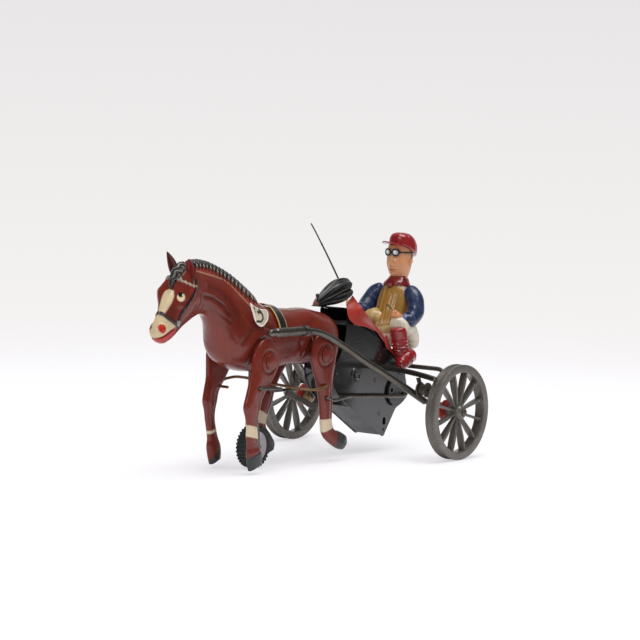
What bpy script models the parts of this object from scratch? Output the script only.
"""Mechanical trotting horse toy: a cast horse with four linked legs draws a sulky and its driver.

Every length below is in millimetres and becomes metres when a piece is placed.
Working frame: X points to the horse's left, Y to the rear, Z up.
The wheel axle lies over Y = 0 and the ground is Z = 0.
"""

import math

import bmesh
import bpy
import numpy as np
from mathutils import Matrix

# Sizes that drive the whole toy
MM = 0.001
GAP = 0.3

WHEEL_RADIUS = 25.0
WHEEL_INNER_FACE = 51.4
WHEEL_WIDTH = 5.9
RIM_DEPTH = 4.1
RIM_GROOVE = 0.9
SPOKES = 12
SPOKE_WIDTH = 4.4
SPOKE_THICKNESS = 1.5
HUB_RADIUS = 4.0
AXLE_RADIUS = 1.2
RUNNING_FIT = 0.3

FRONT_WHEEL_RADIUS = 10.9
FRONT_WHEEL_Y = -102.5
FRONT_TYRE_WIDTH = 4.6
FRONT_HUB_RADIUS = 6.4
TYRE_TEETH = 20

LEG_PIN_RADIUS = 1.3
PIN_FIT = 0.3
FRONT_HIP = (-112.0, 56.0)
REAR_HIP = (-65.5, 56.0)
BODY_HALF_WIDTH = 12.3
LEG_INNER_FACE = BODY_HALF_WIDTH + 0.5
LEG_THICKNESS = 4.2
LEG_OUTER_FACE = LEG_INNER_FACE + LEG_THICKNESS
BOSS_RADIUS = 4.4
BOSS_HEIGHT = 0.4
PIN_HEAD_RADIUS = 4.2
PIN_HEAD_HEIGHT = 1.6

LINK_RADIUS = 0.75
LINK_PIN_RADIUS = 0.75
LINK_PIN_FIT = 0.35
LINK_PLANE = LEG_OUTER_FACE + GAP + LINK_RADIUS + 0.2
FORWARD_LINK_PIN = (0.4, -15.2)
BACKWARD_LINK_PIN = (-8.0, -12.9)

ROD_RADIUS = 0.8
ROD_PIN = (1.2, -21.9)
CRANK_THROW = 5.1
CRANK_CENTRE = (7.0, 31.0)
CRANK_DISC_RADIUS = 7.6
CRANK_DISC_THICKNESS = 1.2

HOUSING_HALF_WIDTH = 9.0
SHEET = 0.6
PLATE_INNER = HOUSING_HALF_WIDTH - SHEET
COVER_HALF = PLATE_INNER - GAP
SEAT_HALF = COVER_HALF + 1.4
ARBOR_CENTRE = (-28.4, 42.5)
SECOND_CENTRE = (-11.3, 38.6)
GOVERNOR_DIRECTION = -76.5
SPRING_TURNS = 6
SPRING_OUTER_RADIUS = 14.0
SPRING_INNER_RADIUS = 3.6
SPRING_THICKNESS = 0.5

SHAFT_RADIUS = 1.85
SHAFT_FRONT_X = LEG_OUTER_FACE + 1.0
SLEEVE_RADIUS = SHAFT_RADIUS + 0.45
CROSSBAR_RADIUS = 1.45
WHIP_RADIUS = 0.5

PAINTS = {
    "horse_brown": ((0.33, 0.055, 0.03), 0.3, 0.0),
    "black": ((0.02, 0.02, 0.022), 0.35, 0.0),
    "steel": ((0.42, 0.40, 0.37), 0.35, 1.0),
    "dark_steel": ((0.2, 0.19, 0.18), 0.4, 1.0),
    "black_tin": ((0.025, 0.027, 0.03), 0.25, 0.2),
    "brass": ((0.7, 0.5, 0.22), 0.35, 1.0),
    "red": ((0.55, 0.03, 0.03), 0.35, 0.0),
    "cream": ((0.75, 0.66, 0.48), 0.5, 0.0),
    "rubber": ((0.03, 0.03, 0.032), 0.75, 0.0),
    "skin": ((0.75, 0.42, 0.28), 0.45, 0.0),
    "blue": ((0.04, 0.08, 0.25), 0.4, 0.0),
}

for old in list(bpy.data.objects):
    bpy.data.objects.remove(old, do_unlink=True)

assembly = bpy.data.objects.new("assembly", None)
bpy.context.scene.collection.objects.link(assembly)


# Helpers that make, join and place meshes

def paint_named(name):
    """The material of a paint or a metal, made once."""
    if name in bpy.data.materials:
        return bpy.data.materials[name]
    colour, roughness, metallic = PAINTS[name]
    made = bpy.data.materials.new(name)
    made.use_nodes = True
    shader = made.node_tree.nodes["Principled BSDF"]
    shader.inputs["Base Color"].default_value = (*colour, 1.0)
    shader.inputs["Roughness"].default_value = roughness
    shader.inputs["Metallic"].default_value = metallic
    return made


def tidy_mesh(mesh, merge=1e-4):
    """Close the seams of a mesh and turn its faces outwards."""
    work = bmesh.new()
    work.from_mesh(mesh)
    bmesh.ops.remove_doubles(work, verts=work.verts, dist=merge)
    bmesh.ops.recalc_face_normals(work, faces=work.faces)
    work.to_mesh(mesh)
    work.free()
    return mesh


def mesh_of(points, faces):
    """A mesh from points and faces."""
    mesh = bpy.data.meshes.new("shape")
    mesh.from_pydata([tuple(float(v) for v in p) for p in points], [], faces)
    return tidy_mesh(mesh)


def loft(rings):
    """A closed skin over rings with the same number of points; a ring of one point is a pole."""
    points = []
    starts = []
    for ring in rings:
        starts.append((len(points), len(ring)))
        points.extend(ring)
    faces = []
    for (first, count), (second, other) in zip(starts, starts[1:]):
        if count == 1:
            faces += [(first, second + i, second + (i + 1) % other) for i in range(other)]
        elif other == 1:
            faces += [(second, first + (i + 1) % count, first + i) for i in range(count)]
        else:
            faces += [
                (first + i, first + (i + 1) % count, second + (i + 1) % count, second + i)
                for i in range(count)
            ]
    for first, count in (starts[0], starts[-1]):
        if count > 1:
            faces.append(tuple(range(first, first + count)))
    return mesh_of(points, faces)


def smooth_rows(rows, per_span):
    """Catmull-Rom interpolation of rows of numbers, with per_span steps between two rows."""
    rows = np.array(rows, float)
    padded = np.vstack([2 * rows[0] - rows[1], rows, 2 * rows[-1] - rows[-2]])
    out = []
    for i in range(len(rows) - 1):
        a, b, c, d = padded[i:i + 4]
        for step in range(per_span):
            t = step / per_span
            out.append(
                0.5 * (2 * b + (c - a) * t + (2 * a - 5 * b + 4 * c - d) * t * t
                       + (3 * b - a - 3 * c + d) * t ** 3)
            )
    out.append(rows[-1])
    return np.array(out)


def side_ring(front, rear, centre_x, half_x, sides=12, fullness=1.0, taper=0.0):
    """A ring that spans two points of a side view and swells sideways by half_x.

    fullness under 1 makes the section squarer; taper narrows it towards the first point.
    """
    front = np.array(front, float)
    rear = np.array(rear, float)
    middle = (front + rear) / 2
    reach = (front - rear) / 2
    ring = []
    for i in range(sides):
        angle = 2 * math.pi * (i + 0.5) / sides
        along = math.copysign(abs(math.cos(angle)) ** fullness, math.cos(angle))
        across = math.copysign(abs(math.sin(angle)) ** fullness, math.sin(angle))
        y, z = middle + reach * along
        ring.append((centre_x + half_x * across * (1 - taper * along), y, z))
    return ring


def level_ring(centre, half_x, half_y, sides=12, tilt=0.0):
    """A ring round a vertical limb; tilt in degrees lowers its rear edge."""
    slope = math.radians(tilt)
    ring = []
    for i in range(sides):
        angle = 2 * math.pi * (i + 0.5) / sides
        across = half_x * math.cos(angle)
        along = half_y * math.sin(angle)
        ring.append((centre[0] + across, centre[1] + along * math.cos(slope),
                     centre[2] - along * math.sin(slope)))
    return ring


def limb(stations, sides=7, per_span=2):
    """A round limb along a path of (x, y, z, radius) with rounded ends."""
    rows = smooth_rows(stations, per_span)
    path = rows[:, :3]
    radii = rows[:, 3]
    tangents = np.gradient(path, axis=0)
    tangents /= np.linalg.norm(tangents, axis=1)[:, None]
    side = np.cross(tangents[0], (0.0, 0.0, 1.0))
    if np.linalg.norm(side) < 0.3:
        side = np.cross(tangents[0], (1.0, 0.0, 0.0))
    rings = [[tuple(path[0] - tangents[0] * radii[0] * 0.8)]]
    turns = [2 * math.pi * i / sides for i in range(sides)]

    def ring_at(place, tangent, radius, across):
        across = across - tangent * np.dot(across, tangent)
        across /= np.linalg.norm(across)
        up = np.cross(tangent, across)
        return across, [tuple(place + radius * (math.cos(a) * across + math.sin(a) * up)) for a in turns]

    side, ring = ring_at(path[0] - tangents[0] * radii[0] * 0.5, tangents[0], radii[0] * 0.72, side)
    rings.append(ring)
    for place, tangent, radius in zip(path, tangents, radii):
        side, ring = ring_at(place, tangent, radius, side)
        rings.append(ring)
    side, ring = ring_at(path[-1] + tangents[-1] * radii[-1] * 0.5, tangents[-1], radii[-1] * 0.72, side)
    rings.append(ring)
    rings.append([tuple(path[-1] + tangents[-1] * radii[-1] * 0.8)])
    return loft(rings)


def temporary(mesh):
    """An object that holds a mesh while a modifier or a curve works on it."""
    holder = bpy.data.objects.new("holder", mesh)
    bpy.context.scene.collection.objects.link(holder)
    return holder


def evaluated(holder):
    """The mesh of an object as its modifiers leave it."""
    state = holder.evaluated_get(bpy.context.evaluated_depsgraph_get())
    return bpy.data.meshes.new_from_object(state)


def boolean(base, tool, operation):
    """Join two closed meshes, or cut one with the other."""
    first = temporary(base)
    second = temporary(tool)
    joiner = first.modifiers.new("join", "BOOLEAN")
    joiner.solver = "EXACT"
    joiner.operation = operation
    joiner.object = second
    result = evaluated(first)
    for holder in (first, second):
        bpy.data.objects.remove(holder, do_unlink=True)
    return result


def fuse(*meshes):
    """One body from meshes that overlap."""
    result = meshes[0]
    for mesh in meshes[1:]:
        result = boolean(result, mesh, "UNION")
    return result


def cut(base, *tools):
    """A body with the given cutters taken out."""
    for tool in tools:
        base = boolean(base, tool, "DIFFERENCE")
    return base


def tube(points, radius, resolution=1):
    """A round bar along points, from a curve with a bevel and filled caps."""
    curve = bpy.data.curves.new("path", "CURVE")
    curve.dimensions = "3D"
    curve.bevel_depth = radius
    curve.bevel_resolution = resolution
    curve.use_fill_caps = True
    spline = curve.splines.new("POLY")
    spline.points.add(len(points) - 1)
    for place, point in zip(spline.points, points):
        place.co = (*[float(v) for v in point], 1.0)
    holder = temporary(curve)
    mesh = evaluated(holder)
    bpy.data.objects.remove(holder, do_unlink=True)
    return tidy_mesh(mesh)


def bend(points, radius, steps=4):
    """A path with its inner corners rounded to about the given radius."""
    points = [np.array(p, float) for p in points]
    out = [points[0]]
    for before, corner, after in zip(points, points[1:], points[2:]):
        to_before = before - corner
        to_after = after - corner
        reach = min(radius, 0.45 * np.linalg.norm(to_before), 0.45 * np.linalg.norm(to_after))
        start = corner + to_before / np.linalg.norm(to_before) * reach
        end = corner + to_after / np.linalg.norm(to_after) * reach
        for i in range(steps + 1):
            t = i / steps
            out.append((1 - t) ** 2 * start + 2 * t * (1 - t) * corner + t * t * end)
    out.append(points[-1])
    return out


def prism(outline, x_from, x_to):
    """A flat plate: an outline of (y, z) points carried along X."""
    count = len(outline)
    points = [(x_from, y, z) for y, z in outline] + [(x_to, y, z) for y, z in outline]
    faces = [tuple(range(count)), tuple(range(2 * count - 1, count - 1, -1))]
    faces += [(i, i + count, (i + 1) % count + count, (i + 1) % count) for i in range(count)]
    return mesh_of(points, faces)


def upright_plate(outline, y_from, y_to):
    """A flat plate that faces along Y: an outline of (x, z) points carried along Y."""
    plate = prism(outline, y_from, y_to)
    plate.transform(Matrix(((0, 1, 0, 0), (1, 0, 0, 0), (0, 0, 1, 0), (0, 0, 0, 1))))
    return tidy_mesh(plate)


def rounded(corners, steps=3):
    """An outline of (y, z, radius) corners with each corner rounded by its radius."""
    out = []
    count = len(corners)
    for i in range(count):
        before = np.array(corners[i - 1][:2], float)
        corner = np.array(corners[i][:2], float)
        after = np.array(corners[(i + 1) % count][:2], float)
        radius = corners[i][2]
        if radius == 0:
            out.append(tuple(corner))
            continue
        to_before = before - corner
        to_after = after - corner
        reach = min(radius, 0.45 * np.linalg.norm(to_before), 0.45 * np.linalg.norm(to_after))
        start = corner + to_before / np.linalg.norm(to_before) * reach
        end = corner + to_after / np.linalg.norm(to_after) * reach
        for step in range(steps + 1):
            t = step / steps
            out.append(tuple((1 - t) ** 2 * start + 2 * t * (1 - t) * corner + t * t * end))
    return out


def circle(centre, radius, sides=16, start=0.0):
    """Points (y, z) round a circle."""
    return [
        (centre[0] + radius * math.cos(start + 2 * math.pi * i / sides),
         centre[1] + radius * math.sin(start + 2 * math.pi * i / sides))
        for i in range(sides)
    ]


def drum(centre, radius, x_from, x_to, sides=16):
    """A plain round bar along X at centre (y, z)."""
    return prism(circle(centre, radius, sides), x_from, x_to)


def turned(profile, centre, sides=20):
    """A ring turned round an X axis at centre: profile is a closed loop of (x, radius).

    The sides are flat at the bottom, so that a wheel rests on a flat.
    """
    points = []
    count = len(profile)
    for i in range(sides):
        angle = -math.pi / 2 + 2 * math.pi * (i + 0.5) / sides
        points += [
            (x, centre[0] + r * math.cos(angle), centre[1] + r * math.sin(angle)) for x, r in profile
        ]
    faces = []
    for i in range(sides):
        ahead = (i + 1) % sides
        for j in range(count):
            k = (j + 1) % count
            faces.append((i * count + j, i * count + k, ahead * count + k, ahead * count + j))
    return mesh_of(points, faces)


def gear_outline(centre, teeth, module, phase):
    """The outline of a toothed wheel; phase is the angle of one tooth's middle."""
    pitch = 2 * math.pi / teeth
    pitch_radius = module * teeth / 2
    tip = pitch_radius + 0.8 * module
    root = pitch_radius - 1.15 * module
    outline = []
    for i in range(teeth):
        middle = phase + i * pitch
        for radius, share in ((root, -0.27), (tip, -0.1), (tip, 0.1), (root, 0.27)):
            angle = middle + share * pitch
            outline.append((centre[0] + radius * math.cos(angle), centre[1] + radius * math.sin(angle)))
    return outline


def meshing_phase(driver_phase, driver_teeth, driven_teeth, direction):
    """The phase that puts a gap of the driven gear over a tooth of its driver."""
    offset = (driver_phase - direction) * driver_teeth / driven_teeth
    return direction + math.pi - offset + math.pi / driven_teeth


def strip(path, thickness, x_from, x_to):
    """A bent sheet: a (y, z) path given a thickness and carried along X."""
    path = np.array(path, float)
    tangents = np.gradient(path, axis=0)
    tangents /= np.linalg.norm(tangents, axis=1)[:, None]
    across = np.stack([-tangents[:, 1], tangents[:, 0]], axis=1) * thickness / 2
    outline = [tuple(p) for p in path + across] + [tuple(p) for p in (path - across)[::-1]]
    return prism(outline, x_from, x_to)


def place(name, mesh, paint, pivot=(0.0, 0.0, 0.0), sharp=35.0):
    """Put a finished mesh into the scene as a piece whose origin is its pivot."""
    mesh.transform(Matrix.Translation([-v for v in pivot]))
    mesh.transform(Matrix.Scale(MM, 4))
    mesh.name = name
    mesh.materials.clear()
    mesh.materials.append(paint_named(paint))
    mesh.shade_smooth()
    mesh.set_sharp_from_angle(angle=math.radians(sharp))
    piece = bpy.data.objects.new(name, mesh)
    bpy.context.scene.collection.objects.link(piece)
    piece.parent = assembly
    piece.location = [v * MM for v in pivot]
    return piece


SIDES = (("left", 1), ("right", -1))


# Horse body: one casting from rump to muzzle

# Each station is a back point, a belly point, a share of the half width and the back's narrowing
HORSE_STATIONS = [
    ((-42.0, 69.5), (-41.6, 59.0), 0.447, 0.0),
    ((-44.8, 73.0), (-43.8, 55.4), 0.715, 0.0),
    ((-50.0, 75.9), (-48.5, 52.9), 0.911, 0.0),
    ((-57.0, 77.6), (-55.5, 51.2), 1.0, 0.0),
    ((-66.0, 79.4), (-65.0, 50.6), 1.0, 0.02),
    ((-76.0, 79.6), (-76.0, 51.0), 0.935, 0.04),
    ((-87.0, 80.4), (-87.0, 50.6), 0.959, 0.08),
    ((-97.0, 82.0), (-98.0, 49.6), 0.984, 0.14),
    ((-104.0, 84.5), (-109.0, 49.6), 1.0, 0.2),
    ((-110.0, 88.2), (-120.0, 51.0), 0.967, 0.25),
    ((-116.0, 92.2), (-129.5, 54.6), 0.894, 0.3),
    ((-121.0, 95.4), (-134.6, 59.5), 0.797, 0.32),
    ((-126.0, 98.2), (-136.3, 65.5), 0.699, 0.32),
    ((-131.0, 100.6), (-138.0, 70.5), 0.602, 0.32),
    ((-137.0, 103.0), (-140.8, 75.3), 0.52, 0.3),
    ((-143.5, 105.2), (-144.8, 79.6), 0.472, 0.25),
    ((-150.0, 106.4), (-149.6, 80.6), 0.463, 0.15),
    ((-156.5, 106.6), (-154.4, 79.2), 0.496, 0.05),
    ((-162.0, 104.8), (-159.2, 77.0), 0.52, 0.0),
    ((-166.8, 101.0), (-163.2, 74.9), 0.504, -0.02),
    ((-170.2, 96.2), (-166.4, 72.6), 0.455, -0.02),
    ((-173.0, 91.2), (-169.4, 70.4), 0.398, 0.0),
    ((-176.0, 85.6), (-172.4, 68.8), 0.35, 0.02),
    ((-179.0, 80.8), (-175.4, 67.9), 0.325, 0.02),
    ((-181.4, 77.6), (-178.0, 68.2), 0.301, 0.0),
    ((-182.6, 74.8), (-180.4, 69.6), 0.211, 0.0),
]


FLANK_FULLNESS = 0.9


def horse_section(back, belly, share, taper, sides=16, proud=0.0):
    """The casting's outline at one station, or the same outline standing proud of it."""
    back = np.array(back, float)
    belly = np.array(belly, float)
    outward = (back - belly) / np.linalg.norm(back - belly) * proud
    half_width = BODY_HALF_WIDTH * share + proud
    return side_ring(back + outward, belly - outward, 0.0, half_width, sides, FLANK_FULLNESS, taper)


def horse_casting():
    """Body, neck and head as one skin with a pole at each end."""
    rings = [[(0.0, -40.8, 64.5)]]
    rings += [horse_section(*station) for station in HORSE_STATIONS]
    rings.append([(0.0, -182.8, 72.2)])
    return loft(rings)


def ear(side):
    """A pricked ear: a cone with a flattened front, leaning forward."""
    rows = [(3.3, -159.5, 101.0, 2.6), (4.0, -160.6, 104.6, 2.3), (4.4, -162.6, 108.6, 1.5)]
    rings = []
    for x, y, z, radius in rows:
        rings.append(level_ring((side * x, y, z), radius, radius * 0.7, sides=8, tilt=-18.0))
    rings.append([(side * 4.5, -164.2, 111.6)])
    return loft(rings)


def mane_ridge():
    """The plaited crest: a rounded ridge along the top of the neck."""
    crest = [
        (-157.0, 106.2, 1.7), (-150.0, 107.2, 2.1), (-143.0, 106.0, 2.2), (-136.0, 103.6, 2.2),
        (-129.0, 100.6, 2.2), (-122.0, 96.8, 2.1), (-115.5, 92.4, 1.9), (-109.0, 87.6, 1.5),
    ]
    return limb([(0.0, y, z, radius) for y, z, radius in crest], sides=7, per_span=2)


def forelock():
    """A tuft that falls from between the ears over the forehead."""
    rows = [
        (0.6, -161.5, 105.6, 1.6), (1.0, -167.4, 104.8, 2.0), (1.3, -171.0, 101.2, 2.0),
        (1.3, -171.8, 97.2, 1.7), (1.0, -171.0, 94.0, 1.0),
    ]
    return limb(rows, sides=7, per_span=2)


def body_bore(hip):
    """The hole for a leg pin, right through the casting."""
    return drum(hip, LEG_PIN_RADIUS + PIN_FIT, -LEG_OUTER_FACE, LEG_OUTER_FACE, sides=12)


horse = fuse(horse_casting(), ear(1), ear(-1), mane_ridge(), forelock())
horse = cut(horse, body_bore(FRONT_HIP), body_bore(REAR_HIP))
place("horse_body", horse, "horse_brown")


# Tail: a ridged black casting that rests over the housing

def tail_casting():
    """A swept plume from the croup, thicker towards its end."""
    rows = [
        (0.0, -55.4, 81.6, 1.5), (0.0, -51.5, 83.0, 1.9), (0.0, -46.5, 84.2, 2.7),
        (0.0, -40.5, 85.2, 3.7), (0.0, -34.5, 86.7, 4.5), (0.0, -29.5, 87.4, 4.6), (0.0, -26.8, 86.4, 3.6),
    ]
    return limb(rows, sides=12, per_span=2)


place("tail", tail_casting(), "black", pivot=(0.0, -54.0, 81.5))


# Legs: flat castings, each cut for its hip pin, its link pin and, at the rear, its rod

FRONT_BENT = [
    ((-119.5, 63.0), (-104.5, 62.6), 1.5), ((-122.6, 59.0), (-101.6, 58.6), 2.1),
    ((-123.4, 54.5), (-102.4, 54.0), 2.1), ((-124.2, 50.0), (-105.8, 48.5), 2.1),
    ((-125.6, 45.0), (-110.6, 43.5), 2.1), ((-127.4, 39.4), (-115.0, 38.6), 2.1),
    ((-129.0, 34.0), (-117.0, 33.6), 2.1), ((-127.6, 29.6), (-118.4, 29.6), 1.9),
    ((-126.2, 24.5), (-119.4, 24.5), 1.7), ((-126.2, 19.0), (-118.6, 18.4), 1.8),
    ((-125.6, 14.0), (-118.2, 14.4), 1.7), ((-125.8, 10.2), (-115.6, 11.0), 2.1),
    ((-125.0, 5.0), (-114.8, 7.6), 2.1), ((-124.0, 1.9), (-114.6, 5.4), 1.9),
]
FRONT_STRAIGHT = [
    ((-119.5, 63.0), (-104.5, 62.6), 1.5), ((-122.6, 59.0), (-101.6, 58.6), 2.1),
    ((-122.8, 54.5), (-102.6, 54.0), 2.1), ((-122.6, 50.0), (-105.8, 48.5), 2.1),
    ((-122.6, 45.0), (-109.6, 43.5), 2.1), ((-123.8, 39.4), (-113.4, 38.6), 2.1),
    ((-124.6, 34.0), (-114.8, 33.6), 2.1), ((-123.2, 29.6), (-116.0, 29.6), 1.9),
    ((-122.4, 24.5), (-116.2, 24.5), 1.7), ((-121.0, 19.0), (-114.8, 18.6), 1.8),
    ((-120.4, 14.6), (-113.2, 14.8), 1.7), ((-120.6, 10.2), (-111.4, 11.2), 2.1),
    ((-119.4, 5.0), (-110.8, 7.4), 2.1), ((-118.2, 1.6), (-110.8, 4.6), 1.9),
]
REAR_HANGING = [
    ((-71.5, 64.6), (-58.5, 64.2), 1.5), ((-74.6, 60.0), (-53.4, 59.6), 2.1),
    ((-75.2, 54.5), (-54.6, 54.0), 2.1), ((-73.2, 48.5), (-56.4, 47.6), 2.1),
    ((-70.4, 42.5), (-57.6, 41.6), 2.1), ((-68.4, 37.0), (-58.0, 36.4), 2.1),
    ((-67.2, 31.0), (-57.2, 30.4), 2.1), ((-66.2, 25.0), (-57.4, 25.4), 1.9),
    ((-65.6, 19.6), (-57.2, 20.6), 1.8), ((-64.6, 15.6), (-55.2, 17.0), 1.9),
    ((-61.6, 12.2), (-51.8, 15.9), 2.0), ((-56.6, 9.0), (-48.4, 14.6), 2.1),
    ((-51.8, 6.6), (-44.8, 12.6), 2.1), ((-48.0, 5.6), (-43.8, 9.6), 1.6),
]


def leg_casting(stations, side, hip, pins):
    """A flat leg with a raised boss round its hip, bored for the given pins (y, z, radius)."""
    middle = side * (LEG_INNER_FACE + LEG_THICKNESS / 2)
    rings = [
        side_ring(front, rear, middle, half * LEG_THICKNESS / 4.2, sides=10, fullness=0.75)
        for front, rear, half in stations
    ]
    boss = drum(hip, BOSS_RADIUS, side * LEG_INNER_FACE, side * (LEG_OUTER_FACE + BOSS_HEIGHT), sides=16)
    body = fuse(loft(rings), boss)
    inside = side * (LEG_INNER_FACE - 2.0)
    outside = side * (LEG_OUTER_FACE + 2.0)
    bores = [drum((y, z), radius, inside, outside, sides=12) for y, z, radius in pins]
    return cut(body, *bores)


def turned_about(point, hip, degrees):
    """A side-view point swung forwards about a hip."""
    angle = math.radians(degrees)
    y = point[0] - hip[0]
    z = point[1] - hip[1]
    return (hip[0] + y * math.cos(angle) + z * math.sin(angle),
            hip[1] - y * math.sin(angle) + z * math.cos(angle))


def offset_from(hip, offset):
    """A side-view point given from a hip."""
    return (hip[0] + offset[0], hip[1] + offset[1])


ROD_ARM = math.hypot(*ROD_PIN)
LEG_SWING = math.degrees(2 * math.asin(CRANK_THROW / ROD_ARM))
FORWARD_FRONT_PIN = offset_from(FRONT_HIP, FORWARD_LINK_PIN)
FORWARD_REAR_PIN = offset_from(REAR_HIP, FORWARD_LINK_PIN)
BACKWARD_FRONT_PIN = offset_from(FRONT_HIP, BACKWARD_LINK_PIN)
BACKWARD_REAR_PIN = offset_from(REAR_HIP, BACKWARD_LINK_PIN)
ROD_PIN_LEFT = offset_from(REAR_HIP, ROD_PIN)
ROD_PIN_RIGHT = turned_about(ROD_PIN_LEFT, REAR_HIP, LEG_SWING)

HIP_BORE = LEG_PIN_RADIUS + PIN_FIT
LINK_BORE = LINK_PIN_RADIUS + LINK_PIN_FIT
ROD_BORE = ROD_RADIUS + LINK_PIN_FIT

front_left = leg_casting(FRONT_BENT, 1, FRONT_HIP,
                         [(*FRONT_HIP, HIP_BORE), (*BACKWARD_FRONT_PIN, LINK_BORE)])
place("leg_front_left", front_left, "horse_brown", pivot=(0.0, *FRONT_HIP))
front_right = leg_casting(FRONT_STRAIGHT, -1, FRONT_HIP,
                          [(*FRONT_HIP, HIP_BORE), (*FORWARD_FRONT_PIN, LINK_BORE)])
place("leg_front_right", front_right, "horse_brown", pivot=(0.0, *FRONT_HIP))
rear_left = leg_casting(REAR_HANGING, 1, REAR_HIP,
                        [(*REAR_HIP, HIP_BORE), (*FORWARD_REAR_PIN, LINK_BORE), (*ROD_PIN_LEFT, ROD_BORE)])
place("leg_rear_left", rear_left, "horse_brown", pivot=(0.0, *REAR_HIP))
REAR_FORWARD = [
    (turned_about(front, REAR_HIP, LEG_SWING), turned_about(rear, REAR_HIP, LEG_SWING), half)
    for front, rear, half in REAR_HANGING
]
rear_right = leg_casting(REAR_FORWARD, -1, REAR_HIP,
                         [(*REAR_HIP, HIP_BORE), (*BACKWARD_REAR_PIN, LINK_BORE), (*ROD_PIN_RIGHT, ROD_BORE)])
place("leg_rear_right", rear_right, "horse_brown", pivot=(0.0, *REAR_HIP))


def leg_pin(hip):
    """A through pin with a broad domed head outside each leg."""
    outer = LEG_OUTER_FACE + BOSS_HEIGHT + GAP
    dome = [(outer + PIN_HEAD_HEIGHT * rise, PIN_HEAD_RADIUS * reach)
            for rise, reach in ((0.0, 1.0), (0.35, 0.94), (0.75, 0.62), (0.95, 0.28), (1.0, 0.0))]
    half = [(outer, LEG_PIN_RADIUS)] + dome
    profile = [(-x, r) for x, r in reversed(half)] + half
    rings = [[(x, hip[0], hip[1])] if r == 0 else
             [(x, y, z) for y, z in circle(hip, r, 12)] for x, r in profile]
    return loft(rings)


place("front_leg_pin", leg_pin(FRONT_HIP), "horse_brown")
place("rear_leg_pin", leg_pin(REAR_HIP), "horse_brown")


# Trotting linkage: two links join the diagonal pairs, two rods join the rear legs to the cranks

def trot_link(rear_side, rear_pin, front_pin, middle, peg):
    """A bent wire outside both legs of a diagonal pair; each end turns in through its leg's hole."""
    inside = LEG_INNER_FACE - 0.7
    path = [(rear_side * inside, *rear_pin), (rear_side * LINK_PLANE, *rear_pin)]
    path += middle
    path += [(-rear_side * LINK_PLANE, *front_pin), (-rear_side * (inside - peg), *front_pin)]
    return tube(bend(path, 2.0, steps=2), LINK_RADIUS)


forward_link = trot_link(1, FORWARD_REAR_PIN, FORWARD_FRONT_PIN, [
    (LINK_PLANE, -73.6, 39.0), (10.1, -78.4, 39.3), (-5.0, -86.6, 41.7), (-13.8, -91.6, 43.8),
    (-LINK_PLANE, -95.2, 44.3), (-LINK_PLANE, -104.0, 43.8),
], peg=2.0)
place("trot_link_forward", forward_link, "brass", pivot=(0.0, *FORWARD_REAR_PIN))
backward_link = trot_link(-1, BACKWARD_REAR_PIN, BACKWARD_FRONT_PIN, [
    (-LINK_PLANE, -80.5, 41.0), (-8.0, -86.9, 39.6), (6.0, -95.6, 40.2), (LINK_PLANE, -103.2, 42.0),
], peg=0.0)
place("trot_link_backward", backward_link, "dark_steel", pivot=(0.0, *BACKWARD_REAR_PIN))

ROD_PLANE = HOUSING_HALF_WIDTH + 4.5
DISC_OUTER = HOUSING_HALF_WIDTH + GAP + CRANK_DISC_THICKNESS + 0.1
CRANK_ANGLE = math.atan2(-1.4, 5.0)


def crank_pin(side):
    """The crank hole's centre; the two cranks stand half a turn apart."""
    turn = CRANK_ANGLE if side > 0 else CRANK_ANGLE + math.pi
    return (CRANK_CENTRE[0] + CRANK_THROW * math.cos(turn), CRANK_CENTRE[1] + CRANK_THROW * math.sin(turn))


def crank_rod(side, leg_hole):
    """A wire rod hooked through the rear leg; its crank end stops clear of the disc."""
    outside = side * (LEG_OUTER_FACE + 1.6)
    pin = crank_pin(side)
    drop = np.array(pin) - np.array(leg_hole)
    joggle_start = np.array(leg_hole) + drop * 0.06 + (0.0, -1.4)
    joggle_end = np.array(leg_hole) + drop * 0.31
    approach = np.array(leg_hole) + drop * 0.94 + (0.0, -1.0)
    path = [
        (side * (LEG_INNER_FACE - 0.6), *leg_hole), (outside, *leg_hole), (outside, *joggle_start),
        (side * (ROD_PLANE + 1.0), *joggle_end), (side * ROD_PLANE, *approach),
        (side * ROD_PLANE, *pin), (side * (DISC_OUTER + GAP), *pin),
    ]
    return tube(bend(path, 1.6, steps=3), ROD_RADIUS)


place("crank_rod_left", crank_rod(1, ROD_PIN_LEFT), "steel", pivot=(0.0, *ROD_PIN_LEFT))
place("crank_rod_right", crank_rod(-1, ROD_PIN_RIGHT), "steel", pivot=(0.0, *ROD_PIN_RIGHT))


# Clockwork: spring and great wheel, second wheel, crank shaft and governor

def apart(a, b):
    """Distance between two side-view points."""
    return math.hypot(b[0] - a[0], b[1] - a[1])


def heading(a, b):
    """Angle of the line from one side-view point to another."""
    return math.atan2(b[1] - a[1], b[0] - a[0])


GREAT_TEETH = 30
SECOND_PINION_TEETH = 8
SECOND_TEETH = 28
CRANK_PINION_TEETH = 10
GOVERNOR_TEETH = 8
FIRST_MODULE = 2 * apart(ARBOR_CENTRE, SECOND_CENTRE) / (GREAT_TEETH + SECOND_PINION_TEETH)
SECOND_MODULE = 2 * apart(SECOND_CENTRE, CRANK_CENTRE) / (SECOND_TEETH + CRANK_PINION_TEETH)
GOVERNOR_REACH = SECOND_MODULE * (SECOND_TEETH + GOVERNOR_TEETH) / 2
GOVERNOR_ANGLE = math.radians(GOVERNOR_DIRECTION)
GOVERNOR_CENTRE = (SECOND_CENTRE[0] + GOVERNOR_REACH * math.cos(GOVERNOR_ANGLE),
                   SECOND_CENTRE[1] + GOVERNOR_REACH * math.sin(GOVERNOR_ANGLE))

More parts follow.
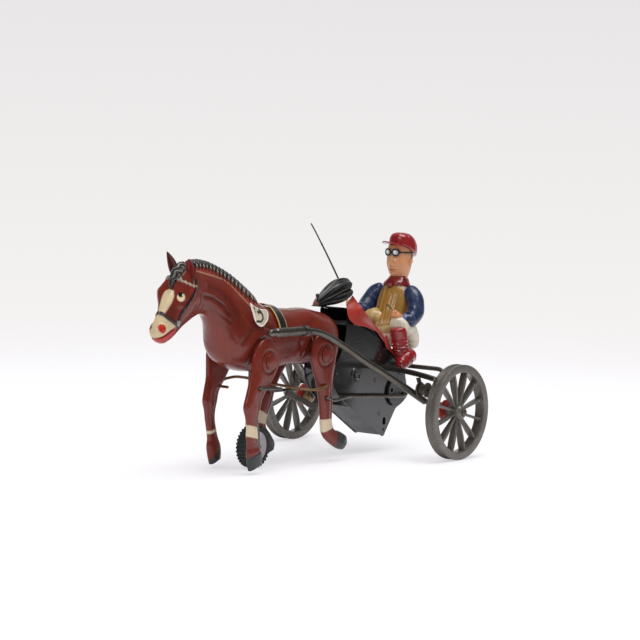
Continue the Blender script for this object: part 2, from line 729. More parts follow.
# The layers between the plates are counted from the left plate inwards
SECOND_LAYER = (PLATE_INNER - 2.0, PLATE_INNER - 0.7)
FIRST_LAYER = (PLATE_INNER - 4.4, PLATE_INNER - 3.0)
RATCHET_LAYER = (PLATE_INNER - 6.0, PLATE_INNER - 4.8)
SPRING_LAYER = (-PLATE_INNER + 2.0, PLATE_INNER - 6.6)
JOURNAL_RADIUS = 0.9
ARBOR_RADIUS = 1.4
SHAFT_END = HOUSING_HALF_WIDTH + GAP / 2

first_phase = heading(ARBOR_CENTRE, SECOND_CENTRE)
second_pinion_phase = meshing_phase(first_phase, GREAT_TEETH, SECOND_PINION_TEETH, first_phase)
second_phase = heading(SECOND_CENTRE, CRANK_CENTRE)
crank_pinion_phase = meshing_phase(second_phase, SECOND_TEETH, CRANK_PINION_TEETH, second_phase)
governor_phase = meshing_phase(second_phase, SECOND_TEETH, GOVERNOR_TEETH, GOVERNOR_ANGLE)

great = prism(gear_outline(ARBOR_CENTRE, GREAT_TEETH, FIRST_MODULE, first_phase), *FIRST_LAYER)
great = cut(great, drum(ARBOR_CENTRE, ARBOR_RADIUS + RUNNING_FIT, 0.0, PLATE_INNER))
CLICK_PIVOT = (ARBOR_CENTRE[0] + 8.0, ARBOR_CENTRE[1] + 5.6)
click_stud = drum(CLICK_PIVOT, 0.8, RATCHET_LAYER[0], FIRST_LAYER[0] + 0.4, sides=10)
place("great_wheel", fuse(great, click_stud), "brass", pivot=(0.0, *ARBOR_CENTRE))

RATCHET_TEETH = 12
RATCHET_RADIUS = 5.4


def ratchet_outline():
    """Saw teeth that let the arbor wind one way."""
    outline = []
    for i in range(RATCHET_TEETH):
        base = 2 * math.pi * i / RATCHET_TEETH
        outline.append((ARBOR_CENTRE[0] + RATCHET_RADIUS * math.cos(base),
                        ARBOR_CENTRE[1] + RATCHET_RADIUS * math.sin(base)))
        low = base + 0.02
        outline.append((ARBOR_CENTRE[0] + (RATCHET_RADIUS - 1.1) * math.cos(low),
                        ARBOR_CENTRE[1] + (RATCHET_RADIUS - 1.1) * math.sin(low)))
    return outline


ratchet = prism(ratchet_outline(), *RATCHET_LAYER)
ARBOR_END = HOUSING_HALF_WIDTH + 6.2
arbor = fuse(
    drum(ARBOR_CENTRE, ARBOR_RADIUS, -ARBOR_END, SHAFT_END + 0.6, sides=16),
    drum(ARBOR_CENTRE, 2.6, SPRING_LAYER[0], RATCHET_LAYER[0] + 0.2, sides=16),
    ratchet,
)
place("spring_arbor", arbor, "steel", pivot=(0.0, *ARBOR_CENTRE))

click_nose = (ARBOR_CENTRE[0] + (RATCHET_RADIUS + GAP) * math.cos(0.0),
              ARBOR_CENTRE[1] + (RATCHET_RADIUS + GAP) * math.sin(0.0))
click_outline = rounded([
    (CLICK_PIVOT[0] - 1.6, CLICK_PIVOT[1] + 1.8, 1.2), (CLICK_PIVOT[0] - 2.4, CLICK_PIVOT[1] - 1.0, 0.5),
    (click_nose[0], click_nose[1], 0.0), (click_nose[0] + 1.6, click_nose[1] + 0.2, 0.3),
    (CLICK_PIVOT[0] + 1.8, CLICK_PIVOT[1] - 0.6, 0.8), (CLICK_PIVOT[0] + 1.6, CLICK_PIVOT[1] + 1.6, 1.2),
])
click = prism(click_outline, RATCHET_LAYER[0] + 0.1, RATCHET_LAYER[1])
click = cut(click, drum(CLICK_PIVOT, 0.8 + RUNNING_FIT, 0.0, PLATE_INNER, sides=10))
place("click", click, "steel", pivot=(0.0, *CLICK_PIVOT))


def spring_path():
    """The wound strip: a spiral whose radius grows evenly, with its outer end led to a pillar."""
    steps = SPRING_TURNS * 14
    points = []
    for i in range(steps + 1):
        share = i / steps
        radius = SPRING_INNER_RADIUS + (SPRING_OUTER_RADIUS - SPRING_INNER_RADIUS) * share
        angle = math.radians(150.0) + 2 * math.pi * SPRING_TURNS * share
        points.append((ARBOR_CENTRE[0] + radius * math.cos(angle),
                       ARBOR_CENTRE[1] + radius * math.sin(angle)))
    return points


SPRING_PITCH = (SPRING_OUTER_RADIUS - SPRING_INNER_RADIUS) / SPRING_TURNS
print("mainspring gap between turns", round(SPRING_PITCH - SPRING_THICKNESS, 2), "mm")
place("mainspring", strip(spring_path(), SPRING_THICKNESS, *SPRING_LAYER), "steel")

second = fuse(
    prism(gear_outline(SECOND_CENTRE, SECOND_TEETH, SECOND_MODULE, second_phase), *SECOND_LAYER),
    prism(gear_outline(SECOND_CENTRE, SECOND_PINION_TEETH, FIRST_MODULE, second_pinion_phase),
          FIRST_LAYER[0] - 0.3, SECOND_LAYER[0] + 0.2),
    drum(SECOND_CENTRE, JOURNAL_RADIUS, -SHAFT_END, SHAFT_END, sides=12),
)
place("second_wheel", second, "brass", pivot=(0.0, *SECOND_CENTRE))

crank_shaft = fuse(
    drum(CRANK_CENTRE, ARBOR_RADIUS, -DISC_OUTER, DISC_OUTER, sides=16),
    prism(gear_outline(CRANK_CENTRE, CRANK_PINION_TEETH, SECOND_MODULE, crank_pinion_phase),
          SECOND_LAYER[0] - 0.3, SECOND_LAYER[1] + 0.2),
)
place("crank_shaft", crank_shaft, "steel", pivot=(0.0, *CRANK_CENTRE))

governor = fuse(
    prism(gear_outline(GOVERNOR_CENTRE, GOVERNOR_TEETH, SECOND_MODULE, governor_phase),
          SECOND_LAYER[0] - 0.3, SECOND_LAYER[1] + 0.2),
    drum(GOVERNOR_CENTRE, JOURNAL_RADIUS, -SHAFT_END, SHAFT_END, sides=12),
    prism(rounded([(GOVERNOR_CENTRE[0] - 6.2, GOVERNOR_CENTRE[1] - 0.5, 0.0),
                   (GOVERNOR_CENTRE[0] + 6.2, GOVERNOR_CENTRE[1] - 0.5, 0.0),
                   (GOVERNOR_CENTRE[0] + 6.2, GOVERNOR_CENTRE[1] + 0.5, 0.0),
                   (GOVERNOR_CENTRE[0] - 6.2, GOVERNOR_CENTRE[1] + 0.5, 0.0)]),
          -PLATE_INNER + 2.9, PLATE_INNER - 4.9),
)
place("governor", governor, "brass", pivot=(0.0, *GOVERNOR_CENTRE))


def crank_disc(side):
    """A plain disc with a hole for the rod's hook and a spare hole opposite."""
    near = side * (HOUSING_HALF_WIDTH + GAP + 0.1)
    far = side * DISC_OUTER
    disc = drum(CRANK_CENTRE, CRANK_DISC_RADIUS, near, far, sides=28)
    pin = crank_pin(side)
    spare = (2 * CRANK_CENTRE[0] - pin[0], 2 * CRANK_CENTRE[1] - pin[1])
    bores = [
        drum(CRANK_CENTRE, ARBOR_RADIUS + 0.2, near - side, far + side),
        drum(pin, ROD_RADIUS + LINK_PIN_FIT, near - side, far + side, sides=12),
        drum(spare, ROD_RADIUS + LINK_PIN_FIT, near - side, far + side, sides=12),
    ]
    return cut(disc, *bores)


for side_name, side in SIDES:
    place("crank_disc_" + side_name, crank_disc(side), "black_tin", pivot=(0.0, *CRANK_CENTRE))

KEY_START = HOUSING_HALF_WIDTH + 3.4
KEY_SHOULDER = ARBOR_END + 1.6
KEY_END = KEY_SHOULDER + 7.4
KEY_REACH = 9.0
wing = [(-KEY_SHOULDER + 0.8, 2.0, 0.0), (-KEY_SHOULDER - 0.8, KEY_REACH, 2.4), (-KEY_END, KEY_REACH, 3.2),
        (-KEY_END, 2.6, 2.0)]
key_bow = rounded(wing + [(-KEY_END + 2.0, 0.0, 1.5)] + [(x, -z, r) for x, z, r in reversed(wing)])
bow_outline = [(x, ARBOR_CENTRE[1] + z) for x, z in key_bow]
bow = upright_plate(bow_outline, ARBOR_CENTRE[0] - 0.6, ARBOR_CENTRE[0] + 0.6)
key = fuse(drum(ARBOR_CENTRE, 2.3, -KEY_SHOULDER, -KEY_START, sides=14), bow)
key = cut(key, drum(ARBOR_CENTRE, ARBOR_RADIUS + 0.2, -ARBOR_END - GAP, -KEY_START + 1.0, sides=16))
place("winding_key", key, "steel", pivot=(0.0, *ARBOR_CENTRE))


# Housing: two side plates, three sheet covers and the pillars between the plates

PLATE_OUTLINE = rounded([
    (-2.6, 7.4, 1.6), (8.2, 22.2, 1.5), (14.5, 24.6, 3.0), (19.3, 28.4, 1.6), (15.6, 41.2, 1.2),
    (-21.9, 74.2, 1.6), (-37.0, 77.6, 1.2), (-37.8, 64.0, 3.0), (-40.6, 56.6, 2.0), (-44.6, 50.9, 1.5),
    (-49.2, 49.2, 1.5), (-50.5, 45.6, 2.0), (-48.0, 38.6, 3.0), (-43.6, 33.1, 2.0), (-39.2, 29.8, 1.0),
])
PILLARS = (("front", (-45.6, 44.6)), ("top", (-31.0, 69.6)), ("rear", (11.0, 40.6)), ("low", (-2.3, 11.6)))
PILLAR_RADIUS = 1.3
OVAL_HOLE = rounded([(-3.4, 14.0, 1.0), (-0.8, 14.0, 1.0), (-0.8, 18.0, 1.0), (-3.4, 18.0, 1.0)])


def plate_bores():
    """Cutters for the pivots and pillars, the same in both plates."""
    beyond = HOUSING_HALF_WIDTH + 3.0
    bores = [
        drum(ARBOR_CENTRE, ARBOR_RADIUS + RUNNING_FIT, -beyond, beyond, sides=12),
        drum(SECOND_CENTRE, JOURNAL_RADIUS + RUNNING_FIT, -beyond, beyond, sides=10),
        drum(CRANK_CENTRE, ARBOR_RADIUS + RUNNING_FIT, -beyond, beyond, sides=12),
        drum(GOVERNOR_CENTRE, JOURNAL_RADIUS + RUNNING_FIT, -beyond, beyond, sides=10),
        prism(OVAL_HOLE, -beyond, beyond),
    ]
    for _, spot in PILLARS:
        bores.append(drum(spot, PILLAR_RADIUS * 0.6 + 0.2, -beyond, beyond, sides=8))
    return bores


def side_plate(side):
    """A flat sheet with pivot holes; the left one has a raised boss and an oval hole."""
    inner = side * PLATE_INNER
    outer = side * HOUSING_HALF_WIDTH
    sheet = prism(PLATE_OUTLINE, inner, outer)
    boss = turned([(outer - side * 0.2, 2.4), (outer - side * 0.2, 4.6), (outer + side * 0.5, 4.2),
                   (outer + side * 0.5, 3.0)], ARBOR_CENTRE, sides=14)
    return cut(fuse(sheet, boss), *plate_bores())


for side_name, side in SIDES:
    place("side_plate_" + side_name, side_plate(side), "black_tin")


def pillar(spot):
    """A spacer with a thin tenon through each plate."""
    body = PLATE_INNER - GAP
    tip = HOUSING_HALF_WIDTH + 0.4
    thin = PILLAR_RADIUS * 0.6
    half = [(body, PILLAR_RADIUS), (body, thin), (tip, thin)]
    profile = [(-x, r) for x, r in reversed(half)] + half
    return loft([[(x, y, z) for y, z in circle(spot, r, 8)] for x, r in profile])


for pillar_name, spot in PILLARS:
    place("pillar_" + pillar_name, pillar(spot), "steel")

TOP_PATH = [(14.4, 41.6), (11.5, 44.2), (-6.0, 59.7), (-21.9, 73.6), (-24.5, 74.9), (-36.6, 77.9),
            (-44.0, 78.5), (-50.4, 79.3)]
top_cover = fuse(
    strip(TOP_PATH[:6], SHEET, -COVER_HALF, COVER_HALF),
    strip(TOP_PATH[4:], SHEET, -4.6, 4.6),
)
place("top_cover", top_cover, "black_tin")
FRONT_PATH = [(-38.9, 30.6), (-43.1, 33.9), (-47.3, 39.1), (-49.6, 45.4), (-48.7, 48.2), (-45.4, 49.8)]
place("front_cover", strip(smooth_rows(FRONT_PATH, 2), SHEET, -COVER_HALF, COVER_HALF), "black_tin")
BOTTOM_PATH = [(-32.6, 26.4), (-3.9, 8.9), (-2.4, 8.6), (-0.6, 10.2), (5.6, 18.6)]
place("bottom_cover", strip(BOTTOM_PATH, SHEET, -COVER_HALF, COVER_HALF), "black_tin")

LEVER_PIVOT = (-33.4, 29.6)
LEVER_PATH = [(-33.4, 30.8), (-35.6, 26.4), (-38.8, 25.0), (-45.6, 28.2), (-53.0, 30.8), (-61.0, 33.6)]
LEVER_INNER = HOUSING_HALF_WIDTH + 2.2
LEVER_OUTER = LEVER_INNER + 0.8
lever = strip(smooth_rows(LEVER_PATH, 2), 3.0, -LEVER_OUTER, -LEVER_INNER)
lever = fuse(lever, drum(LEVER_PIVOT, 2.2, -LEVER_OUTER, -LEVER_INNER, sides=14),
             drum(LEVER_PIVOT, 0.9, -LEVER_INNER - 0.3, -HOUSING_HALF_WIDTH - GAP, sides=10))
place("stop_lever", lever, "dark_steel", pivot=(0.0, *LEVER_PIVOT))


# Front wheel under the belly

FRONT_AXLE = (FRONT_WHEEL_Y, FRONT_WHEEL_RADIUS)
FORK_INNER = FRONT_TYRE_WIDTH / 2 + 0.9
FORK_SHEET = 0.9
fork_outline = rounded([
    (-107.6, 49.0, 0.5), (-107.2, 30.0, 2.0), (-104.6, 24.0, 2.0), (-104.7, 10.9, 1.5), (-102.5, 8.6, 1.5),
    (-100.3, 10.9, 1.5), (-100.4, 25.0, 2.0), (-103.2, 31.0, 2.0), (-103.6, 49.0, 0.5),
])
fork = prism(fork_outline, -FORK_INNER - FORK_SHEET, FORK_INNER + FORK_SHEET)
fork_slot = prism([(-112.0, 2.0), (-96.0, 2.0), (-96.0, 23.6), (-112.0, 23.6)], -FORK_INNER, FORK_INNER)
stem_trim = prism([(-112.0, 29.0), (-96.0, 29.0), (-96.0, 60.0), (-112.0, 60.0)], 1.6, 8.0)
stem_trim_right = prism([(-112.0, 29.0), (-96.0, 29.0), (-96.0, 60.0), (-112.0, 60.0)], -8.0, -1.6)
axle_bore = drum(FRONT_AXLE, AXLE_RADIUS + 0.2, -8.0, 8.0, sides=12)
place("front_fork", cut(fork, fork_slot, stem_trim, stem_trim_right, axle_bore), "dark_steel")
front_axle_reach = FORK_INNER + FORK_SHEET + GAP
front_axle = loft([[(x, y, z) for y, z in circle(FRONT_AXLE, r, 12)] for x, r in (
    (-front_axle_reach - 0.8, 1.9), (-front_axle_reach, 1.9), (-front_axle_reach, AXLE_RADIUS),
    (front_axle_reach, AXLE_RADIUS), (front_axle_reach, 1.9), (front_axle_reach + 0.8, 1.9))])
place("front_axle", front_axle, "steel")
hub_half = FRONT_TYRE_WIDTH / 2
front_hub = turned([
    (-hub_half - 0.3, AXLE_RADIUS + RUNNING_FIT), (-hub_half - 0.3, 2.4), (-hub_half + 0.8, 3.0),
    (-hub_half + 0.6, FRONT_HUB_RADIUS), (hub_half - 0.6, FRONT_HUB_RADIUS), (hub_half - 0.8, 3.0),
    (hub_half + 0.3, 2.4), (hub_half + 0.3, AXLE_RADIUS + RUNNING_FIT),
], FRONT_AXLE, sides=20)
place("front_wheel_hub", front_hub, "steel", pivot=(0.0, *FRONT_AXLE))


def toothed_tyre():
    """A rubber ring with blunt teeth round its tread."""
    outline = []
    pitch = 2 * math.pi / TYRE_TEETH
    tip = FRONT_WHEEL_RADIUS / math.cos(0.2 * pitch)
    for i in range(TYRE_TEETH):
        for radius, share in ((tip - 0.9, -0.28), (tip, -0.2), (tip, 0.2), (tip - 0.9, 0.28)):
            angle = -math.pi / 2 + (i + share) * pitch
            outline.append((FRONT_AXLE[0] + radius * math.cos(angle),
                            FRONT_AXLE[1] + radius * math.sin(angle)))
    ring = prism(outline, -hub_half, hub_half)
    return cut(ring, drum(FRONT_AXLE, FRONT_HUB_RADIUS + GAP, -6.0, 6.0, sides=24))


place("front_tyre", toothed_tyre(), "rubber", pivot=(0.0, *FRONT_AXLE))


# Sulky wheels, arch axle, shafts and crossbars

AXLE = (0.0, WHEEL_RADIUS)
RIM_SIDES = 32


def sulky_wheel(side):
    """A grooved rim on leaf spokes; the hub is bored for the axle."""
    inner = WHEEL_INNER_FACE
    outer = inner + WHEEL_WIDTH
    middle = (inner + outer) / 2
    rim_inner = WHEEL_RADIUS - RIM_DEPTH
    tread = WHEEL_RADIUS / math.cos(math.pi / RIM_SIDES)
    rim = turned([(side * x, r) for x, r in (
        (inner, rim_inner), (inner, tread), (inner + 1.2, tread),
        (inner + 1.9, tread - RIM_GROOVE), (outer - 1.9, tread - RIM_GROOVE),
        (outer - 1.2, tread), (outer, tread), (outer, rim_inner))], AXLE, sides=RIM_SIDES)
    bore = AXLE_RADIUS + RUNNING_FIT
    hub = turned([(side * x, r) for x, r in (
        (inner - 3.0, bore), (inner - 3.0, 2.6), (inner, HUB_RADIUS), (outer - 0.4, HUB_RADIUS),
        (outer + 1.2, 2.6), (outer + 1.2, bore))], AXLE, sides=12)
    spokes = []
    for i in range(SPOKES):
        angle = 2 * math.pi * (i + 0.5) / SPOKES
        rings = []
        for radius, half_width, half_thick in (
                (HUB_RADIUS - 0.6, 1.1, SPOKE_THICKNESS / 2), (HUB_RADIUS + 1.6, 1.2, SPOKE_THICKNESS / 2),
                (HUB_RADIUS + 6.5, SPOKE_WIDTH / 2, SPOKE_THICKNESS / 2),
                (rim_inner + 0.6, SPOKE_WIDTH / 2 - 0.4, SPOKE_THICKNESS / 2)):
            ring = []
            for across, round_it in ((-1, -1), (1, -1), (1, 1), (-1, 1)):
                y = radius * math.cos(angle) - round_it * half_thick * math.sin(angle)
                z = radius * math.sin(angle) + round_it * half_thick * math.cos(angle)
                ring.append((side * middle + across * half_width, AXLE[0] + y, AXLE[1] + z))
            rings.append(ring)
        spokes.append(loft(rings))
    return fuse(fuse(rim, *spokes), hub)


def hub_flange(side):
    """A red coned washer between the wheel and the axle's bend."""
    inner = WHEEL_INNER_FACE - 5.6
    bore = AXLE_RADIUS + RUNNING_FIT
    return turned([(side * x, r) for x, r in (
        (inner, bore), (inner, 3.4), (inner + 0.8, 5.8), (inner + 1.4, 5.8), (inner + 2.0, 2.6),
        (inner + 2.3, bore))], AXLE, sides=16)


def axle_cup(side):
    """A turned cup that closes the shaft's end on the axle."""
    inner = 40.6
    return turned([(side * x, r) for x, r in (
        (inner, AXLE_RADIUS + GAP), (inner, 2.6), (inner + 1.2, 4.2), (inner + 3.4, 4.2),
        (inner + 3.4, 3.5), (inner + 1.8, 3.2), (inner + 1.4, AXLE_RADIUS + GAP))], AXLE, sides=14)


for side_name, side in SIDES:
    place("wheel_" + side_name, sulky_wheel(side), "dark_steel", pivot=(0.0, *AXLE))
    place("hub_flange_" + side_name, hub_flange(side), "red", pivot=(0.0, *AXLE))
    place("axle_cup_" + side_name, axle_cup(side), "brass")

AXLE_END = WHEEL_INNER_FACE + WHEEL_WIDTH + 2.0
ARCH_Y = 14.4
ARCH_Z = 44.6
half_arch = [(AXLE_END, *AXLE), (38.0, *AXLE), (36.6, 12.6, 42.6), (33.0, ARCH_Y, ARCH_Z)]
arch_path = half_arch + [(-x, y, z) for x, y, z in reversed(half_arch)]
arch = tube(bend(arch_path, 3.0, steps=3), AXLE_RADIUS)
rivets = [drum(AXLE, 2.0, side * (AXLE_END - 0.4), side * (AXLE_END + 0.5), sides=12) for _, side in SIDES]
place("arch_axle", fuse(arch, *rivets), "dark_steel")


BAR_START = (-7.2, 45.2)
BAR_OUTER_X = WHEEL_INNER_FACE + 1.6
BAR_END_DIRECTION = math.radians(136.5)
BAR_END_REACH = WHEEL_RADIUS / math.cos(math.pi / RIM_SIDES) + CROSSBAR_RADIUS + GAP + 0.1


def bar_at(x):
    """The front bar's place (y, z) at a distance x from the middle: it bows outwards and forwards."""
    start_x = HOUSING_HALF_WIDTH + GAP
    bow = ((x - start_x) / (BAR_OUTER_X - start_x)) ** 1.7
    end_y = AXLE[0] + BAR_END_REACH * math.cos(BAR_END_DIRECTION)
    end_z = AXLE[1] + BAR_END_REACH * math.sin(BAR_END_DIRECTION)
    return BAR_START[0] + (end_y - BAR_START[0]) * bow, BAR_START[1] + (end_z - BAR_START[1]) * bow


def front_bar(side):
    """Half of the bowed front crossbar, from the housing's side plate to just over the wheel."""
    rows = [(side * x, *bar_at(x)) for x in np.linspace(HOUSING_HALF_WIDTH + GAP, BAR_OUTER_X, 13)]
    return tube(rows, CROSSBAR_RADIUS)


SHAFT_PATH = [
    (SHAFT_FRONT_X, -113.0, 70.6), (SHAFT_FRONT_X, -98.0, 70.2), (SHAFT_FRONT_X, -83.0, 69.8),
    (SHAFT_FRONT_X + 0.6, -70.0, 67.2), (SHAFT_FRONT_X + 2.0, -56.0, 60.8), (23.6, -43.0, 52.9),
    (29.0, -30.4, 45.0), (34.0, -17.0, 36.6), (37.0, -5.4, 29.6),
]
SLEEVE_ENDS = (-109.0, -85.0)


def sulky_shaft(side):
    """A bent tube from the saddle to the axle, sleeved along the horse."""
    rows = smooth_rows([(side * x, y, z) for x, y, z in SHAFT_PATH], 2)
    front, middle, rear = SHAFT_PATH[:3]
    heights = np.interp(SLEEVE_ENDS, (front[1], middle[1], rear[1]), (front[2], middle[2], rear[2]))
    sleeve_rows = [(side * SHAFT_FRONT_X, y, z) for y, z in zip(SLEEVE_ENDS, heights)]
    sleeve = tube(sleeve_rows, SLEEVE_RADIUS, resolution=2)
    return fuse(tube(rows, SHAFT_RADIUS, resolution=2), sleeve)


BRACKET_X = 38.4


def shaft_bracket(side):
    """A bobbin on a small plate that hangs from the front bar beside the shaft's end."""
    bar_y, bar_z = bar_at(BRACKET_X)
    centre = (bar_y + 1.8, bar_z - 8.0)
    bobbin = turned([(side * x, r) for x, r in (
        (BRACKET_X - 0.4, 0.9), (BRACKET_X - 0.4, 3.9), (BRACKET_X + 0.6, 3.9), (BRACKET_X + 0.8, 2.2),
        (BRACKET_X + 4.0, 2.2), (BRACKET_X + 4.2, 3.9), (BRACKET_X + 5.2, 3.9), (BRACKET_X + 5.2, 0.9))],
        centre, sides=14)
    web_top = bar_z - CROSSBAR_RADIUS - GAP
    web = prism(rounded([(bar_y + 0.2, bar_z - 6.4, 0.0), (bar_y + 3.2, bar_z - 6.4, 0.0),
                         (bar_y + 1.0, web_top, 0.6), (bar_y - 2.0, web_top, 0.6)]),
                side * (BRACKET_X - 0.2), side * (BRACKET_X + 0.8))
    return fuse(bobbin, web)


for side_name, side in SIDES:
    place("front_bar_" + side_name, front_bar(side), "steel")
    place("shaft_" + side_name, sulky_shaft(side), "steel")
    place("shaft_bracket_" + side_name, shaft_bracket(side), "dark_steel")


# Harness: saddle band round the barrel and the number plate at the withers

def station_at(y):
    """The horse's station at a length along the barrel, from the two on either side of it."""
    lengths = [back[0] for back, belly, share, taper in HORSE_STATIONS]
    flat = [[*back, *belly, share, taper] for back, belly, share, taper in HORSE_STATIONS]
    row = [np.interp(-y, [-v for v in lengths], column) for column in np.array(flat).T]
    return (row[0], row[1]), (row[0], row[3]), row[4], row[5]


BAND_THICKNESS = 0.9


def saddle_band():
    """A strap over the back and down each side, a little proud of the casting."""
    front, rear = -98.2, -91.6
    inner_front = horse_section(*station_at(front), sides=36, proud=GAP + 0.05)
    outer_front = horse_section(*station_at(front), sides=36, proud=GAP + BAND_THICKNESS)
    outer_rear = horse_section(*station_at(rear), sides=36, proud=GAP + BAND_THICKNESS)
    inner_rear = horse_section(*station_at(rear), sides=36, proud=GAP + 0.05)
    turns = [i % 36 for i in range(-11, 11)]
    return loft([[inner_front[i], outer_front[i], outer_rear[i], inner_rear[i]] for i in turns])


def band_reach(spot, proud):
    """How far out the casting's outline, standing proud, lies at a spot (y, z) of the flank."""
    back, belly, share, taper = station_at(spot[0])
    along = (spot[1] - (back[1] + belly[1]) / 2) / ((back[1] - belly[1]) / 2 + proud)
    across = (1 - abs(along) ** (2 / FLANK_FULLNESS)) ** (FLANK_FULLNESS / 2)
    return (BODY_HALF_WIDTH * share + proud) * across * (1 - taper * along)


ARM_SPOT = (-94.9, 70.2)
arm_start = band_reach(ARM_SPOT, GAP + BAND_THICKNESS) - BAND_THICKNESS / 3
arm_end = SHAFT_FRONT_X - SLEEVE_RADIUS - GAP
arms = [drum(ARM_SPOT, 1.0, side * arm_start, side * arm_end, sides=10) for _, side in SIDES]
place("saddle_band", fuse(saddle_band(), *arms), "black")

plate_profile = rounded([(-124.2, 86.0, 0.6), (-117.6, 82.6, 4.0), (-109.6, 81.6, 4.0), (-108.8, 76.6, 4.0),
                         (-114.0, 72.6, 3.0), (-119.2, 75.6, 4.0)], steps=4)
plate_inner_face = BODY_HALF_WIDTH + GAP
place("number_plate", prism(plate_profile, plate_inner_face, plate_inner_face + 0.8), "cream")


# Seat and driver

SEAT_PATH = [(8.2, 48.6), (-6.0, 61.1), (-19.4, 72.9), (-21.4, 76.4), (-22.4, 80.0), (-23.0, 84.0)]
seat_floor = strip(SEAT_PATH[:4], SHEET, -SEAT_HALF, SEAT_HALF)
leaf = strip(SEAT_PATH[2:], SHEET, -6.6, 6.6)
leaf_waist = ((66.0, 5.0), (76.0, 4.8), (85.6, 10.6))
leaf_trim = [
    loft([level_ring((side * 11.2, -22.0, z), r, 9.0, sides=16) for z, r in leaf_waist])
    for side in (1, -1)
]
seat_tabs = [
    prism(rounded([(-7.6, 61.6, 0.0), (-7.6, 55.2, 2.0), (-2.6, 53.0, 2.0), (-1.6, 57.0, 0.0)]),
          side * (HOUSING_HALF_WIDTH + GAP), side * (HOUSING_HALF_WIDTH + GAP + 0.6))
    for side in (1, -1)
]
seat = fuse(seat_floor, cut(leaf, *leaf_trim), *seat_tabs)
place("seat_shell", seat, "red")


def driver_figure():
    """Torso, arms, thighs and boots as one moulding that sits on the sloping seat."""
    torso_rows = [
        (9.4, 54.4, 5.0, 3.2), (9.6, 58.0, 7.6, 7.0), (11.8, 63.0, 8.8, 9.8), (13.8, 68.5, 9.3, 9.8),
        (15.4, 74.0, 9.2, 8.8), (16.8, 79.5, 9.6, 7.8), (17.9, 84.0, 9.4, 7.0), (19.0, 87.2, 7.2, 6.2),
        (19.8, 89.6, 4.6, 4.8),
    ]
    torso = loft([level_ring((0.0, y, z), half_x, half_y, sides=14) for y, z, half_x, half_y in torso_rows])
    left_arm = limb([(9.6, 17.6, 84.4, 3.6), (14.4, 16.6, 79.6, 3.9), (16.8, 13.6, 73.2, 3.7),
                     (15.0, 8.6, 71.4, 3.0), (12.6, 4.0, 73.0, 2.4)])
    right_arm = limb([(-9.6, 16.6, 84.4, 3.6), (-14.0, 13.6, 79.6, 3.8), (-15.6, 7.6, 75.2, 3.5),
                      (-14.6, 0.6, 75.6, 2.8), (-13.2, -5.0, 76.4, 2.3)])
    thighs = [
        limb([(side * (SEAT_HALF - 2.5), 18.4, 60.4, 5.2), (side * (SEAT_HALF + 0.1), 11.0, 64.6, 4.9),
              (side * (SEAT_HALF + 2.3), 4.4, 66.6, 4.3)])
        for side in (1, -1)
    ]
    shins = [
        limb([(side * (SEAT_HALF + 2.5), 4.8, 66.0, 3.9), (side * (SEAT_HALF + 3.7), 5.8, 58.6, 4.2),
              (side * (SEAT_HALF + 4.5), 7.4, 50.6, 3.9), (side * (SEAT_HALF + 4.7), 4.2, 47.2, 3.3),
              (side * (SEAT_HALF + 4.7), -1.0, 46.6, 2.7)])
        for side in (1, -1)
    ]
    return fuse(torso, left_arm, right_arm, *thighs, *shins)


place("driver_body", driver_figure(), "blue")

CAP_TILT = 12.0
head_rows = [
    (21.4, 90.2, 3.9, 4.2), (20.8, 92.6, 4.6, 5.6), (20.2, 95.2, 5.7, 7.2), (20.2, 99.0, 6.6, 8.2),
    (20.4, 103.0, 6.9, 8.6), (20.6, 106.4, 6.8, 8.6),
]
head = loft([
    level_ring((0.0, y, z), half_x, half_y, sides=14, tilt=CAP_TILT * i / (len(head_rows) - 1))
    for i, (y, z, half_x, half_y) in enumerate(head_rows)
])
place("driver_head", head, "skin")
cap_rows = [
    (20.7, 106.4 + GAP + 0.1, 7.6, 9.5), (20.7, 108.6, 7.9, 9.8), (20.8, 111.0, 7.2, 9.0),
    (20.9, 113.0, 5.2, 6.6), (21.0, 114.1, 2.6, 3.3),
]
cap_dome = loft([level_ring((0.0, y, z), half_x, half_y, sides=16, tilt=CAP_TILT * (1 - 0.2 * i))
                 for i, (y, z, half_x, half_y) in enumerate(cap_rows)])
peak = loft([level_ring((0.0, 11.4, z), half_x, half_y, sides=14, tilt=-4.0)
             for z, half_x, half_y in ((109.3, 5.6, 6.0), (110.3, 5.2, 5.8))])
place("driver_cap", fuse(cap_dome, peak), "red")


STRAP_SIDES = 16


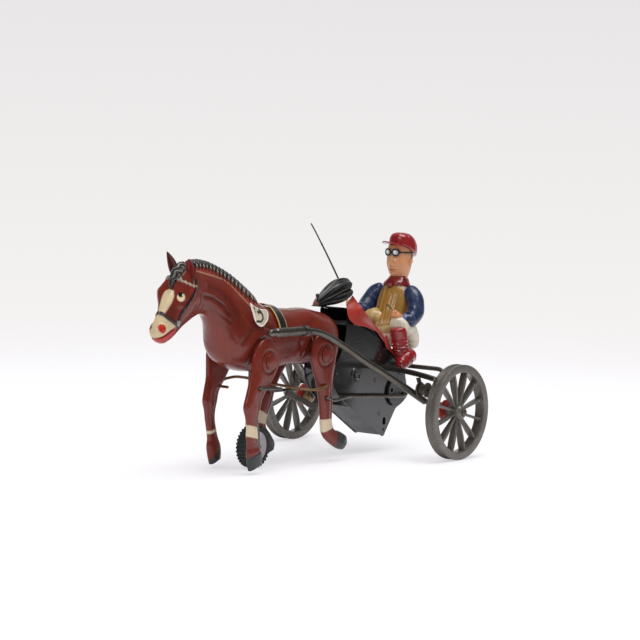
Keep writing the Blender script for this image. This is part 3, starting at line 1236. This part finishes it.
def goggles():
    """A strap round the head with two round lens frames in front."""
    strap_rings = []
    for i in range(STRAP_SIDES):
        angle = 2 * math.pi * i / STRAP_SIDES
        ring = []
        for z, proud in ((101.9, GAP), (101.9, GAP + 0.6), (103.9, GAP + 0.6), (103.9, GAP)):
            ring.append(((6.95 + proud) * math.cos(angle), 20.4 + (8.65 + proud) * math.sin(angle), z))
        strap_rings.append(ring)
    points = [p for ring in strap_rings for p in ring]
    faces = []
    for i in range(STRAP_SIDES):
        ahead = (i + 1) % STRAP_SIDES
        for j in range(4):
            k = (j + 1) % 4
            faces.append((i * 4 + j, i * 4 + k, ahead * 4 + k, ahead * 4 + j))
    strap = mesh_of(points, faces)
    frames = []
    for side in (1, -1):
        rows = ((11.5, 2.2), (10.9, 2.7), (10.2, 2.4))
        frames.append(loft([
            [(side * 3.0 + r * math.cos(a), y, 102.9 + r * 0.85 * math.sin(a))
             for a in [2 * math.pi * k / 12 for k in range(12)]] for y, r in rows]))
    return fuse(strap, *frames)


place("driver_goggles", goggles(), "black")

WHIP_PATH = [(-13.2, -8.2, 79.6), (-12.4, -14.2, 87.0), (-11.4, -26.6, 101.2), (-10.4, -39.0, 114.6),
             (-10.0, -45.4, 121.4)]
place("whip", tube(smooth_rows(WHIP_PATH, 3), WHIP_RADIUS, resolution=1), "black")


# Stand the toy on the middle of its footprint

bpy.context.view_layer.update()
corners = np.array([
    piece.matrix_world @ vertex.co
    for piece in bpy.context.scene.objects if piece.type == "MESH"
    for vertex in piece.data.vertices
])
assembly.location.y = -(corners[:, 1].min() + corners[:, 1].max()) / 2
assembly.location.z = -corners[:, 2].min()
bpy.context.view_layer.update()
print("shift of the working frame", [round(v / MM, 3) for v in assembly.location], "mm")
print("leg swing", round(LEG_SWING, 2), "degrees")
SPOTS = {
    "front hip": FRONT_HIP, "rear hip": REAR_HIP, "forward rear pin": FORWARD_REAR_PIN,
    "backward rear pin": BACKWARD_REAR_PIN, "rod left": ROD_PIN_LEFT, "rod right": ROD_PIN_RIGHT,
    "crank": CRANK_CENTRE, "arbor": ARBOR_CENTRE, "second": SECOND_CENTRE, "governor": GOVERNOR_CENTRE,
    "click": CLICK_PIVOT, "lever": LEVER_PIVOT, "front axle": FRONT_AXLE, "axle": AXLE,
}
shift_y, shift_z = assembly.location.y / MM, assembly.location.z / MM
for spot_name, spot in SPOTS.items():
    print(spot_name, round(spot[0] + shift_y, 3), round(spot[1] + shift_z, 3))
